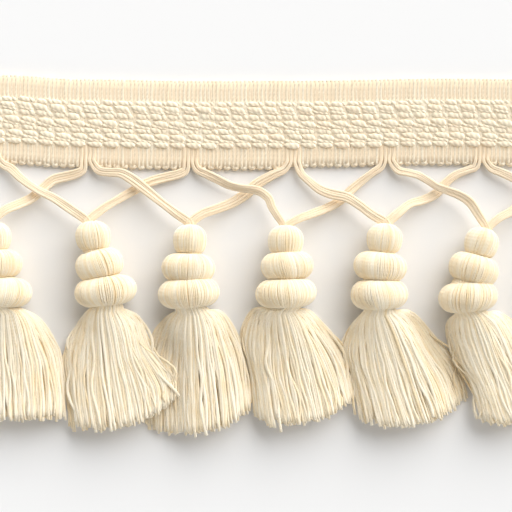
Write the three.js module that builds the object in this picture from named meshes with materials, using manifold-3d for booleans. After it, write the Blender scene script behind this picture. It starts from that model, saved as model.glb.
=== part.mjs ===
// Tassel fringe: a woven heading, a trellis of hanger cords and a row of three-tier tassels, lying face up.
// Millimetres, +Z up. X runs along the heading and the tassels lie towards -Y.
// The origin is the middle of the heading's flat back, which rests at z = 0 as the tassels do.

import * as THREE from 'three';
import { mergeVertices } from 'three/addons/utils/BufferGeometryUtils.js';
import Module from 'manifold-3d';

// Driving sizes of the heading
const HEADING = {
  length: 234,
  width: 24.6,
  upperBand: 5.4,
  lowerBand: 5.7,
  ground: 1.3,
  rib: 0.45,
  braidGround: 1.7,
  stitch: 1.0,
  edgeLoop: 0.35,
};
const STITCHES = 48;
const RIBS_PER_STITCH = 4;
const STITCH_ROWS = 7;
const STITCH_SLANT = 0.5;
const LEVEL_STEPS = 27;

// How far the lying heading strays from a straight line, as places along it
const HEADING_STRAY = [
  { x: -117, y: 1.9 },
  { x: -82, y: 1.3 },
  { x: -60, y: 0.2 },
  { x: -25, y: -0.3 },
  { x: 5, y: -0.1 },
  { x: 45, y: 0.5 },
  { x: 80, y: 0.1 },
  { x: 117, y: -0.2 },
];

// Driving sizes of the hanger cords and of the clearance that parts keep
const CORD_RADIUS = 0.95;
const CORD_SIDES = 6;
const CORD_STEPS = 24;
const CORD_EXIT_Z = 1.05;
const CORD_KNOT_Z = 6.4;
const CORD_LEAD = 1.2;
const KNOT_BEND = { half: 1.6, shoulder: 1.5, depth: 2.8 };
const EDGE_CLEARANCE = 0.5;
const TUNNEL_CLEARANCE = 0.7;

// Half width across the tassel, half height off the surface and half length along the axis of each tier
const TIERS = {
  ball: { across: 5.4, high: 5.0, along: 4.1, z: 6.3, turns: [-74, -42, 0, 42] },
  middle: { across: 7.8, high: 6.9, along: 3.7, z: 6.6, turns: [-58, -22, 22, 58] },
  lower: { across: 8.8, high: 7.6, along: 3.9, z: 7.2, turns: [-58, -22, 22, 58] },
};
const NECKS = {
  first: { across: 3.8, high: 3.6, z: 6.4 },
  second: { across: 5.6, high: 5.2, z: 6.8 },
  third: { across: 5.2, high: 4.4, z: 6.4 },
};
const HEAD_SIDES = 10;

// The skirt: layers of locks, each a three-sided strand with its flat side down
const LAYERS = [
  { locks: 9, from: 0.0, to: 1.0 },
  { locks: 7, from: 0.03, to: 0.97 },
  { locks: 9, from: 0.1, to: 0.9 },
];
const LOCK_FILL = { wide: 0.88, high: 0.8 };
const SKIRT_HEIGHT_ROOT = 9.4;
const SKIRT_HEIGHT_END = 5.6;
const ROOT_STATIONS = [0.06, 0.15, 0.28];
const ROOT_FILL = 0.94;
const LOCK_STATIONS = [0.12, 0.32, 0.62, 1.0];
const LOCK_GATHER = 0.6;

// Places of each tassel's knot, tiers and neck, and the tilt of its tiers in degrees
const HEADS = [
  { knot: [-84.4, -27.3], ball: [-84.4, -32.2], middle: [-83.9, -40.2], lower: [-82.1, -48.2],
    neck: [-80.4, -52.8], tilt: [0, 3, -3] },
  { knot: [-57.5, -27.9], ball: [-55.9, -32.0], middle: [-54.1, -40.2], lower: [-52.2, -47.9],
    neck: [-52.3, -52.5], tilt: [2, 13, 7] },
  { knot: [-28.3, -28.5], ball: [-28.3, -33.0], middle: [-28.7, -41.2], lower: [-28.6, -48.5],
    neck: [-27.5, -53.3], tilt: [0, -2, 4] },
  { knot: [-1.1, -29.3], ball: [-1.0, -33.2], middle: [-0.6, -40.6], lower: [-0.9, -48.5],
    neck: [-2.3, -52.8], tilt: [0, 3, 3] },
  { knot: [27.7, -28.5], ball: [27.2, -32.7], middle: [26.0, -40.8], lower: [25.7, -48.9],
    neck: [25.5, -53.5], tilt: [-3, -6, 1] },
  { knot: [56.6, -29.9], ball: [54.9, -33.9], middle: [52.6, -41.5], lower: [50.9, -49.6],
    neck: [51.8, -54.2], tilt: [-13, -15, 5] },
  { knot: [84.1, -28.7], ball: [84.1, -33.3], middle: [84.4, -41.3], lower: [84.4, -48.8],
    neck: [84.1, -53.3], tilt: [3, 5, -4] },
];

// Skirt outlines as offsets from the neck: shoulder, waist, low and end down each side, and the middle's drop
const SKIRTS = [
  { left: [[-8.0, -2.9], [-12.0, -10.3], [-13.2, -20.6], [-12.6, -30.9]],
    right: [[8.6, -3.4], [13.4, -11.2], [15.0, -20.0], [15.9, -31.5]], drop: -33.2 },
  { left: [[-7.4, -3.7], [-11.2, -11.4], [-10.7, -20.9], [-9.6, -33.5]],
    right: [[8.9, -3.1], [12.3, -11.2], [18.4, -19.4], [19.4, -27.5]], drop: -35.0 },
  { left: [[-8.0, -2.9], [-11.5, -8.6], [-12.3, -21.4], [-12.4, -33.4]],
    right: [[8.3, -1.1], [12.6, -8.0], [14.7, -17.7], [16.6, -27.5]], drop: -35.4 },
  { left: [[-8.0, -0.9], [-10.4, -8.3], [-7.9, -19.2], [-6.7, -32.0]],
    right: [[8.9, -1.4], [14.7, -8.9], [19.0, -18.6], [20.3, -25.2]], drop: -34.2 },
  { left: [[-7.6, -5.1], [-9.2, -11.2], [-6.4, -18.9], [-4.4, -31.5]],
    right: [[10.2, -0.9], [17.2, -9.2], [22.6, -16.3], [25.2, -24.3]], drop: -34.2 },
  { left: [[-6.0, -3.4], [-3.9, -10.6], [1.0, -19.2], [3.3, -31.0]],
    right: [[9.4, -0.3], [15.7, -8.3], [19.2, -18.6], [20.3, -27.7]], drop: -32.6 },
  { left: [[-7.5, -2.3], [-10.4, -9.2], [-10.4, -20.0], [-9.4, -32.2]],
    right: [[8.3, -1.7], [12.3, -9.2], [14.0, -20.0], [13.4, -31.6]], drop: -33.8 },
];

// Where one skirt lies over its neighbour, the over side is lifted off the surface and the under side pressed
const OVER_RIGHT = { tassel: 1, lift: 4.5, height: 3.4 };
const UNDER_LEFT = { tassel: 2, height: 3.7 };

// The hanger routes in plan: where each leaves and meets the heading, and its places down to the knot and back
const ROUTES = [
  { from: -113.0, down: [[-110.9, -14.6], [-106.1, -16.2], [-99.8, -19.2], [-93.5, -22.7], [-88.4, -25.7]],
    up: [[-80.9, -24.6], [-77.8, -23.2], [-74.1, -21.3], [-70.6, -18.2], [-67.8, -15.9], [-64.1, -14.9],
      [-60.6, -14.5]], to: -58.6 },
  { from: -85.0, down: [[-82.4, -14.0], [-76.9, -16.1], [-71.2, -19.3], [-65.5, -22.2], [-61.4, -25.0]],
    up: [[-52.9, -24.2], [-48.3, -21.3], [-43.8, -18.7], [-39.8, -16.6], [-35.5, -15.6], [-31.2, -15.3]],
    to: -29.2 },
  { from: -56.4, down: [[-54.6, -14.8], [-51.2, -15.2], [-46.9, -15.4], [-42.6, -17.6], [-36.9, -22.4],
    [-32.2, -26.0]],
    up: [[-24.6, -25.8], [-20.3, -24.2], [-16.3, -22.5], [-12.3, -20.2], [-8.9, -17.2], [-4.9, -15.4],
      [-1.8, -14.8]], to: 0.2 },
  { from: -26.6, down: [[-24.7, -15.2], [-19.7, -17.0], [-14.0, -18.4], [-8.9, -19.2], [-6.0, -21.3],
    [-4.7, -24.3]],
    up: [[2.8, -27.2], [6.0, -26.0], [11.2, -24.0], [15.2, -21.6], [18.0, -18.4], [21.7, -15.9],
      [25.2, -14.6]], to: 27.4 },
  { from: 2.4, down: [[3.9, -15.6], [7.4, -18.4], [12.3, -20.4], [16.3, -21.2], [19.7, -23.2], [23.7, -25.8]],
    up: [[31.2, -25.6], [34.4, -23.4], [38.9, -21.6], [42.6, -19.6], [45.5, -17.0], [48.3, -15.0],
      [52.0, -14.4]], to: 54.4 },
  { from: 29.8, down: [[31.9, -14.6], [36.6, -15.6], [40.3, -17.2], [44.3, -19.2], [48.9, -20.8],
    [52.0, -23.3], [54.0, -26.4]],
    up: [[60.0, -27.0], [63.8, -25.0], [67.2, -21.9], [71.2, -18.4], [75.2, -15.9], [79.9, -14.6]], to: 82.4 },
  { from: 57.2, down: [[60.0, -14.6], [64.3, -15.8], [68.9, -18.0], [74.1, -21.4], [79.4, -25.3]],
    up: [[88.4, -25.6], [92.9, -22.7], [97.5, -19.2], [102.7, -16.2], [107.6, -14.8]], to: 110.0 },
];

const IVORY = { heading: 0xf3e4c6, hanger: 0xf4e7cb, tassel: 0xefe1c1 };

const wasm = await Module();
wasm.setup();

// Bare, welded copy of a geometry as a solid that can be cut and joined
function solidOf(geometry) {
  const bare = geometry.clone();
  bare.deleteAttribute('normal');
  bare.deleteAttribute('uv');
  const welded = mergeVertices(bare, 1e-4);
  return new wasm.Manifold(new wasm.Mesh({
    numProp: 3,
    vertProperties: new Float32Array(welded.attributes.position.array),
    triVerts: new Uint32Array(welded.index.array),
  }));
}

function geometryOf(solid) {
  const mesh = solid.getMesh();
  const geometry = new THREE.BufferGeometry();
  geometry.setAttribute('position', new THREE.BufferAttribute(mesh.vertProperties, 3));
  geometry.setIndex(new THREE.BufferAttribute(mesh.triVerts, 1));
  geometry.computeVertexNormals();
  return geometry;
}

function meshOf(name, geometry, color) {
  const material = new THREE.MeshStandardMaterial({ color, roughness: 0.9, metalness: 0 });
  const mesh = new THREE.Mesh(geometry, material);
  mesh.name = name;
  return mesh;
}

const smooth = (value, from, to) => THREE.MathUtils.smoothstep(value, from, to);
const mix = THREE.MathUtils.lerp;

// Heading

function strayAt(x) {
  const after = HEADING_STRAY.find((place) => place.x >= x);
  const before = HEADING_STRAY.findLast((place) => place.x <= x);
  if (after === before) return after.y;
  return mix(before.y, after.y, smooth(x, before.x, after.x));
}

// A line of points along the heading; shape gives y and z for a place counted in stitches
function headingLine(pointsPerStitch, shape) {
  const count = STITCHES * pointsPerStitch;
  return Array.from({ length: count + 1 }, (_, i) => {
    const along = i / pointsPerStitch;
    const x = (i / count - 0.5) * HEADING.length;
    const { y, z } = shape(along, i);
    return new THREE.Vector3(x, y + strayAt(x), z);
  });
}

function levelLine(y, z) {
  return Array.from({ length: LEVEL_STEPS + 1 }, (_, i) => {
    const x = (i / LEVEL_STEPS - 0.5) * HEADING.length;
    return new THREE.Vector3(x, y + strayAt(x), z);
  });
}

// The lines of the heading in order round its section, from the upper edge of the back to the lower one
function headingLines() {
  const top = HEADING.width / 2;
  const braidTop = top - HEADING.upperBand;
  const braidBottom = HEADING.lowerBand - top;
  const rowPitch = (braidTop - braidBottom) / STITCH_ROWS;
  const perRib = 2 * RIBS_PER_STITCH;
  const ribZ = (i) => HEADING.ground + (i % 2 ? HEADING.rib : 0);
  const upperLoop = (i) => (i % 2 ? 0.5 * HEADING.edgeLoop : 0);
  const lowerLoop = (along) => HEADING.edgeLoop * Math.cos(2 * Math.PI * along * RIBS_PER_STITCH / 2);
  const lines = [
    levelLine(top - HEADING.edgeLoop, 0),
    headingLine(perRib, (along, i) => ({ y: top + upperLoop(i), z: ribZ(i) })),
    headingLine(perRib, (along, i) => ({ y: braidTop + 0.05, z: ribZ(i) })),
  ];
  for (let row = 0; row < STITCH_ROWS; row += 1) {
    const middle = braidTop - (row + 0.5) * rowPitch;
    const float = (i) => (i % 2 ? HEADING.stitch : 0.25 * HEADING.stitch);
    const slant = (i) => (i % 2 ? -0.5 : 0.5) * STITCH_SLANT;
    lines.push(levelLine(middle + 0.5 * rowPitch, HEADING.braidGround));
    lines.push(headingLine(2, (along, i) => ({
      y: middle + slant(i), z: HEADING.braidGround + float(i) })));
  }
  lines.push(
    levelLine(braidBottom, HEADING.braidGround),
    headingLine(perRib, (along, i) => ({ y: braidBottom - 0.05, z: ribZ(i) })),
    headingLine(perRib, (along, i) => ({ y: -top - lowerLoop(along), z: ribZ(i) })),
    levelLine(HEADING.edgeLoop - top, 0),
  );
  return lines;
}

// Triangles between two lines that may have different numbers of points
function zip(near, far, nearStart, farStart, triangles) {
  let a = 0;
  let b = 0;
  while (a < near.length - 1 || b < far.length - 1) {
    const nextNear = (a + 1) / (near.length - 1);
    const nextFar = (b + 1) / (far.length - 1);
    const stepNear = b === far.length - 1 || (a < near.length - 1 && nextNear <= nextFar);
    if (stepNear) {
      triangles.push(nearStart + a, farStart + b, nearStart + a + 1);
      a += 1;
    } else {
      triangles.push(nearStart + a, farStart + b, farStart + b + 1);
      b += 1;
    }
  }
}

function headingGeometry() {
  const lines = headingLines();
  const starts = [];
  const points = [];
  lines.forEach((line) => {
    starts.push(points.length);
    points.push(...line);
  });
  const triangles = [];
  lines.forEach((line, i) => {
    const next = (i + 1) % lines.length;
    zip(line, lines[next], starts[i], starts[next], triangles);
  });
  const section = (pick) => lines.map((line, i) => starts[i] + (pick === 'last' ? line.length - 1 : 0));
  const outline = section('first').map((i) => new THREE.Vector2(points[i].y, points[i].z));
  THREE.ShapeUtils.triangulateShape(outline, []).forEach(([a, b, c]) => {
    const first = section('first');
    const last = section('last');
    triangles.push(first[a], first[c], first[b]);
    triangles.push(last[a], last[b], last[c]);
  });
  const geometry = new THREE.BufferGeometry().setFromPoints(points);
  geometry.setIndex(triangles);
  const solid = solidOf(geometry);
  return geometryOf(solid);
}

// Hangers

// Height of a hanger's leg at a share of its way from the heading to the knot
function legHeight(share, over) {
  const early = smooth(share, -0.25, 1.0) - smooth(0, -0.25, 1.0) * (1 - share);
  const late = smooth(share, 0.45, 1.0);
  return mix(CORD_EXIT_Z, CORD_KNOT_Z, over ? early : late);
}

// The straight start of a leg, square to the heading's lower edge
function leadPoints(x) {
  const edge = strayAt(x) - HEADING.width / 2 - HEADING.edgeLoop - EDGE_CLEARANCE;
  return [[x, edge], [x, edge - CORD_LEAD]];
}

function hangerCurve(index) {
  const { from, down, up, to } = ROUTES[index];
  const [knotX, knotY] = HEADS[index].knot;
  const { half, shoulder, depth } = KNOT_BEND;
  const leg = (places, over) => places.map(([x, y], i) => new THREE.Vector3(
    x, y, legHeight(i / places.length, over)));
  const bend = [[-half, shoulder], [0, depth], [half, shoulder]].map(([aside, below]) => new THREE.Vector3(
    knotX + aside, knotY - below, CORD_KNOT_Z));
  const downLeg = leg([...leadPoints(from), ...down], true);
  const upLeg = leg([...leadPoints(to), ...[...up].reverse()], false).reverse();
  return new THREE.CatmullRomCurve3([...downLeg, ...bend, ...upLeg], false, 'centripetal');
}

function hangerGeometry(index, radius) {
  const section = new THREE.Shape();
  section.absarc(0, 0, radius, 0, 2 * Math.PI, false);
  return new THREE.ExtrudeGeometry(section, {
    steps: CORD_STEPS,
    curveSegments: CORD_SIDES / 2,
    extrudePath: hangerCurve(index),
  });
}

// Tassels

// Sections of a tier along the axis: centre, half width, half height and tilt
function tierSections(tier, place, axis, tilt) {
  return tier.turns.map((turn) => {
    const angle = THREE.MathUtils.degToRad(turn);
    const along = tier.along * Math.sin(angle);
    const swell = Math.cos(angle) ** 0.6;
    return {
      center: new THREE.Vector3(place[0] + axis.x * along, place[1] + axis.y * along, tier.z),
      across: tier.across * swell,
      high: tier.high * swell,
      tilt,
    };
  });
}

function neckSection(neck, from, to, share, tilt) {
  const x = mix(from[0], to[0], share);
  const y = mix(from[1], to[1], share);
  return { center: new THREE.Vector3(x, y, neck.z), across: neck.across, high: neck.high, tilt };
}

function axisBetween(from, to) {
  return new THREE.Vector2(to[0] - from[0], to[1] - from[1]).normalize();
}

// One side of a skirt's outline as a curve in plan, from the neck to the end
function sideCurve(index, side) {
  const [neckX, neckY] = HEADS[index].neck;
  const sign = side === 'left' ? -1 : 1;
  const places = SKIRTS[index][side].map(([x, y]) => new THREE.Vector3(neckX + x, neckY + y, 0));
  const start = new THREE.Vector3(neckX + sign * NECKS.third.across, neckY, 0);
  return new THREE.CatmullRomCurve3([start, ...places], false, 'centripetal');
}

// A skirt as a function of the share across it and the share down it
function skirtOf(index) {
  const left = sideCurve(index, 'left');
  const right = sideCurve(index, 'right');
  const ends = SKIRTS[index];
  const endMiddle = (ends.left[3][1] + ends.right[3][1]) / 2;
  const isOver = index === OVER_RIGHT.tassel;
  const isUnder = index === UNDER_LEFT.tassel;
  const plan = (across, down) => {
    const point = left.getPoint(down).lerp(right.getPoint(down), across);
    point.y += 4 * across * (1 - across) * (ends.drop - endMiddle) * down * down;
    return point;
  };
  const width = (down) => left.getPoint(down).distanceTo(right.getPoint(down));
  const rounded = (across) => 1 - 0.35 * Math.abs(2 * across - 1) ** 3;
  const base = (across, down) => {
    const hang = (NECKS.third.z - NECKS.third.high) * (1 - smooth(down, 0, 0.3));
    const lifted = isOver ? OVER_RIGHT.lift * smooth(across, 0.55, 0.76) * smooth(down, 0.2, 0.48) : 0;
    return Math.max(hang, lifted);
  };
  const height = (across, down) => {
    const free = mix(SKIRT_HEIGHT_ROOT, SKIRT_HEIGHT_END, smooth(down, 0, 0.7)) * rounded(across);
    if (isOver) return mix(free, OVER_RIGHT.height, smooth(across, 0.55, 0.76) * smooth(down, 0.2, 0.48));
    if (isUnder) return mix(free, UNDER_LEFT.height, (1 - smooth(across, 0.28, 0.5)) * smooth(down, 0.1, 0.36));
    return free;
  };
  return { plan, width, base, height };
}

// The root of the skirt, which the locks grow out of
function rootSections(skirt) {
  return ROOT_STATIONS.map((down) => {
    const height = skirt.height(0.5, down);
    const center = skirt.plan(0.5, down);
    center.z = skirt.base(0.5, down) + height / 2;
    const across = 0.5 * ROOT_FILL * skirt.width(down);
    return { center, across, high: 0.46 * height, tilt: 0 };
  });
}

function headSections(index, skirt) {
  const { knot, ball, middle, lower, neck, tilt } = HEADS[index];
  const topAxis = axisBetween(knot, middle);
  const lowAxis = axisBetween(ball, neck);
  const [ballTilt, middleTilt, lowerTilt] = tilt.map((angle) => THREE.MathUtils.degToRad(angle));
  return [
    ...tierSections(TIERS.ball, ball, topAxis, ballTilt),
    neckSection(NECKS.first, ball, middle, 0.5, (ballTilt + middleTilt) / 2),
    ...tierSections(TIERS.middle, middle, lowAxis, middleTilt),
    neckSection(NECKS.second, middle, lower, 0.5, (middleTilt + lowerTilt) / 2),
    ...tierSections(TIERS.lower, lower, lowAxis, lowerTilt),
    neckSection(NECKS.third, lower, neck, 1, lowerTilt / 2),
    ...rootSections(skirt),
  ];
}

// A closed unit drum whose rings are moved to the sections
function headGeometry(sections) {
  const count = sections.length;
  const profile = [new THREE.Vector2(0, 0)];
  sections.forEach((_, i) => profile.push(new THREE.Vector2(1, i)));
  profile.push(new THREE.Vector2(0, count - 1));
  const drum = new THREE.LatheGeometry(profile, HEAD_SIDES, Math.PI / HEAD_SIDES);
  const position = drum.attributes.position;
  for (let i = 0; i < position.count; i += 1) {
    const section = sections[Math.round(position.getY(i))];
    const across = -position.getX(i) * section.across;
    const z = Math.max(section.center.z + position.getZ(i) * section.high, 0);
    const x = section.center.x + across * Math.cos(section.tilt);
    const y = section.center.y + across * Math.sin(section.tilt);
    position.setXYZ(i, x, y, z);
  }
  return drum;
}

// A three-sided strand whose rings follow the skirt, flat side level, the first ring gathered in the root
function lockGeometry(skirt, layer, across, spread) {
  const segments = LOCK_STATIONS.length - 1;
  const strand = new THREE.CylinderGeometry(1, 1, segments, 3, segments);
  const position = strand.attributes.position;
  const layers = LAYERS.length;
  for (let i = 0; i < position.count; i += 1) {
    const ring = Math.round(segments / 2 - position.getY(i));
    const down = LOCK_STATIONS[ring];
    const gather = ring === 0 ? LOCK_GATHER : 1;
    const place = mix(0.5, across, gather);
    const point = skirt.plan(place, down);
    const ahead = skirt.plan(place, Math.min(down + 0.05, 1));
    const behind = skirt.plan(place, down - 0.05);
    const heading = ahead.sub(behind).setZ(0).normalize();
    const pitch = skirt.height(place, down) / layers;
    const level = mix((layers - 1) / 2, layer, gather);
    const side = Math.sign(Math.round(position.getX(i)));
    const aside = side * 0.5 * LOCK_FILL.wide * skirt.width(down) * spread * gather;
    const above = position.getZ(i) > 0 ? LOCK_FILL.high * pitch * gather : 0;
    const z = skirt.base(place, down) + level * pitch + above;
    position.setXYZ(i, point.x - heading.y * aside, point.y + heading.x * aside, z);
  }
  return strand;
}

function tasselGeometry(index) {
  const skirt = skirtOf(index);
  const pieces = [solidOf(headGeometry(headSections(index, skirt)))];
  LAYERS.forEach(({ locks, from, to }, layer) => {
    const spread = (to - from) / locks;
    for (let i = 0; i < locks; i += 1) {
      const across = from + (i + 0.5) * spread;
      pieces.push(solidOf(lockGeometry(skirt, layer, across, spread)));
    }
  });
  const whole = wasm.Manifold.union(pieces);
  const tunnel = solidOf(hangerGeometry(index, CORD_RADIUS + TUNNEL_CLEARANCE));
  return geometryOf(whole.subtract(tunnel));
}

const fringe = new THREE.Group();
fringe.add(meshOf('heading', headingGeometry(), IVORY.heading));
HEADS.forEach((_, index) => {
  fringe.add(meshOf(`hanger_${index + 1}`, hangerGeometry(index, CORD_RADIUS), IVORY.hanger));
  fringe.add(meshOf(`tassel_${index + 1}`, tasselGeometry(index), IVORY.tassel));
});

export default fringe;
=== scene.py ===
# %% [markdown]
# A length of tassel fringe
# The trimming is all cotton: a woven heading, a trellis of cords that hangs from its lower edge, and a
# row of tassels tied from hanks of thread. Everything here is yarn, so the lesson has one main idea: a
# yarn is a middle line with a thickness, and a piece is many such lines laid as the maker laid them.
# The imported model is loaded first. It fixes where each piece lies.

# %% Load the frame
import bpy
import numpy as np
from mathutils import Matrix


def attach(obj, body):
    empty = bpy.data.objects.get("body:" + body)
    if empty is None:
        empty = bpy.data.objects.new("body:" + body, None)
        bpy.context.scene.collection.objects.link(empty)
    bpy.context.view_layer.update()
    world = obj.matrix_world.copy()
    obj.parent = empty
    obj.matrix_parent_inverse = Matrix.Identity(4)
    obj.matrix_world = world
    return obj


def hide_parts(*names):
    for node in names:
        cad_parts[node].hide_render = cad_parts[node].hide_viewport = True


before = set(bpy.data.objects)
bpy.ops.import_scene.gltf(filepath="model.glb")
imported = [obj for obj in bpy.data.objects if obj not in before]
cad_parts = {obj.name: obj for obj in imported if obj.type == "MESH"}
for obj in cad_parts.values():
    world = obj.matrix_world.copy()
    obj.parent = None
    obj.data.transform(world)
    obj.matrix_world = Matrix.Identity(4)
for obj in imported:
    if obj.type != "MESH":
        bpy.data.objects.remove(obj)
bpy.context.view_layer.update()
MM = 0.001
SEED = 41
chance = np.random.default_rng(SEED)

# %% [markdown]
# Camera
# The fringe lies on a table and is seen from straight above. A short lens close by would make the tall
# tassels lean outwards, so a long lens stands far off. An unturned Blender camera already looks straight
# down with +Y up the picture, so only its place and its lens have to be worked out, from the width of
# fringe that the picture takes in.

# %% Camera above the fringe
# width and middle of the view, and the height over the table where that width is measured
VIEW_WIDTH = 146.4
VIEW_MIDDLE = (-9.44, -37.9)
VIEW_LEVEL = 5.0
LENS, SENSOR = 120.0, 36.0
# what is nearer to the camera than this is not drawn, in metres
NEAREST = 0.01

camera = bpy.data.objects.new("camera", bpy.data.cameras.new("camera"))
camera.data.lens = LENS
camera.data.sensor_width = SENSOR
distance = VIEW_WIDTH * LENS / SENSOR
camera.location = [MM * v for v in (*VIEW_MIDDLE, VIEW_LEVEL + distance)]
camera.data.clip_start = NEAREST
bpy.context.scene.collection.objects.link(camera)
bpy.context.scene.camera = camera
print("camera height, mm:", round(VIEW_LEVEL + distance, 1))

# %% [markdown]
# Key light
# One large soft lamp stands at the upper right. An area lamp near one end would light that end more, so
# the key is a sun with a wide angle, which gives the same soft shadow edge over the whole length of the
# fringe. The Standard view keeps the whites of the floor and the cream true, where others grey them.

# %% Soft key
# the side that the light comes from, then its height and its width in degrees
KEY_FROM = (0.55, 0.835)
KEY_HEIGHT = 34.0
KEY_SPREAD = 60.0
KEY_STRENGTH = 3.1

key = bpy.data.objects.new("key", bpy.data.lights.new("key", "SUN"))
key.data.energy = KEY_STRENGTH
key.data.angle = np.radians(KEY_SPREAD)
key.rotation_euler = (np.radians(90 - KEY_HEIGHT), 0.0, np.arctan2(KEY_FROM[0], -KEY_FROM[1]))
bpy.context.scene.collection.objects.link(key)
bpy.context.scene.view_settings.view_transform = "Standard"
print("key at", KEY_HEIGHT, "degrees, spread", KEY_SPREAD)

# %% [markdown]
# Cotton
# All the yarn is undyed cotton, yet it was spun and used in different ways, and the eye reads those
# differences as small changes of cream. One plain cream would make the fringe look cast in one piece, so
# each material mixes a pale and a deep shade. The share of each comes from one number kept on the mesh
# for each yarn, mostly the yarn's own uneven tone, in the tassels partly painted shade, and from cloudy
# noise. The twist of a yarn is a bump that follows a second number on the mesh, the turn of its ply.

# %% Colours and nodes
def linear(shade):
    values = [int(shade[i:i + 2], 16) / 255 for i in (1, 3, 5)]
    return [v / 12.92 if v <= 0.04045 else ((v + 0.055) / 1.055) ** 2.4 for v in values] + [1.0]


def add(tree, kind, settings=None, values=None, links=None):
    node = tree.nodes.new(kind)
    for name, value in (settings or {}).items():
        setattr(node, name, value)
    for name, value in (values or {}).items():
        node.inputs[name].default_value = value
    for name, socket in (links or {}).items():
        tree.links.new(socket, node.inputs[name])
    return node


# %% A cotton for any yarn
# fibres that lie every way scatter the light, so cotton is rough all through and hardly shines
COTTON_IOR, SHINE = 1.5, 0.2
SCATTER, SHEEN_ROUGH = 1.0, 0.5
# how far the clouds move the share of pale and deep
CLOUD_SWING = 0.9
# how deep the nap is: single fibres are too fine to show, so it is drawn several times as coarse
NAP, NAP_STRENGTH = 0.06, 0.5
# places of the two colours and of the result among the sockets of a Mix node
MIX_DEEP, MIX_PALE, MIXED = 6, 7, 2


def spun_cotton(name, pale, deep, rough, sheen, cloud_mm, ply_mm, fuzz_mm):
    material = bpy.data.materials.new(name)
    material.use_nodes = True
    tree = material.node_tree
    shader = tree.nodes["Principled BSDF"]
    shader.inputs["Roughness"].default_value = rough
    shader.inputs["Diffuse Roughness"].default_value = SCATTER
    shader.inputs["IOR"].default_value = COTTON_IOR
    shader.inputs["Specular IOR Level"].default_value = SHINE
    shader.inputs["Sheen Weight"].default_value = sheen
    shader.inputs["Sheen Roughness"].default_value = SHEEN_ROUGH
    place = add(tree, "ShaderNodeTexCoord").outputs["Object"]
    tone = add(tree, "ShaderNodeAttribute", {"attribute_name": "tone"}).outputs["Fac"]
    cloud = add(tree, "ShaderNodeTexNoise", values={"Scale": 1 / (cloud_mm * MM), "Detail": 3.0},
                links={"Vector": place}).outputs["Fac"]
    share = add(tree, "ShaderNodeMath", {"operation": "MULTIPLY_ADD"},
                {1: CLOUD_SWING, 2: -CLOUD_SWING / 2}, {0: cloud}).outputs[0]
    share = add(tree, "ShaderNodeMath", {"operation": "ADD", "use_clamp": True}, None,
                {0: share, 1: tone}).outputs[0]
    mix = add(tree, "ShaderNodeMix", {"data_type": "RGBA"},
              {MIX_DEEP: linear(deep), MIX_PALE: linear(pale)}, {"Factor": share})
    tree.links.new(mix.outputs[MIXED], shader.inputs["Base Color"])
    ply = add(tree, "ShaderNodeAttribute", {"attribute_name": "ply"}).outputs["Fac"]
    turn = add(tree, "ShaderNodeMath", {"operation": "MULTIPLY"}, {1: 2 * np.pi}, {0: ply}).outputs[0]
    ridge = add(tree, "ShaderNodeMath", {"operation": "SINE"}, None, {0: turn}).outputs[0]
    twist = add(tree, "ShaderNodeBump", None, {"Strength": 1.0, "Distance": ply_mm * MM}, {"Height": ridge})
    fuzz = add(tree, "ShaderNodeTexNoise", values={"Scale": 1 / (fuzz_mm * MM), "Detail": 2.0},
               links={"Vector": place}).outputs["Fac"]
    nap = add(tree, "ShaderNodeBump", None, {"Strength": NAP_STRENGTH, "Distance": NAP * MM},
              {"Height": fuzz, "Normal": twist.outputs[0]})
    tree.links.new(nap.outputs[0], shader.inputs["Normal"])
    return material


# %% The five cottons
# name, pale and deep shade, roughness, sheen, and in mm: size of clouds, depth of twist, size of nap
# Plain-woven ground cloth in the shade between the ribs: a dull, warm cream, with no gloss at all.
# its warmth is partly the cloth's own and partly painted shade, for the warm shade in the gaps
GROUND = spun_cotton("cotton ground, plain woven", "#FEF1DA", "#FCEACE", 0.95, 0.0, 1.5, 0.02, 0.3)
# Two-ply weft, hard twisted: warm cream with a row of small bright turns along each rib.
WEFT = spun_cotton("cotton weft, two-ply, hard twisted", "#FEF6E4", "#FAEACE", 0.8, 0.05, 3.0, 0.06, 0.25)
# The same weft where it runs free as cord and its twist relaxes: smooth, its turns hardly to be seen.
CORD = spun_cotton("cotton weft, relaxed as cord", "#FCEFD8", "#F7E4C6", 0.8, 0.05, 3.0, 0.008, 0.25)
# Loosely spun warp that floats over the ribs: the palest and softest, with strands that slant across it.
FLOAT = spun_cotton("cotton warp, loosely spun", "#FFF7E3", "#FEEED6", 0.9, 0.1, 2.0, 0.07, 0.2)
# Straight thread of the tassels, mercerised: cream with a faint long gloss along the hank.
THREAD = spun_cotton("cotton tassel thread, mercerised", "#FEF6E4", "#F8E6C0", 0.65, 0.05, 4.0, 0.02, 0.3)
print("cottons:", [m.name for m in (GROUND, WEFT, CORD, FLOAT, THREAD)])

# %% [markdown]
# Room
# The light that fills the shadows comes from a white room. A world of one even white would wash out the
# shade between the ribs and under the skirts. So the walls are bright low down and fade upwards to a dim
# ceiling, and the wall behind the heading, where a window lets in more light, is brighter than the rest.

# %% White room
# brightness low on the walls, how fast it fades upwards, what a window adds to its wall, and the ceiling
WALLS, FADE = 3.0, 3.0
WINDOW = 0.2
CEILING = 0.22
ROOM_WHITE = (1.0, 0.995, 0.985, 1.0)

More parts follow.
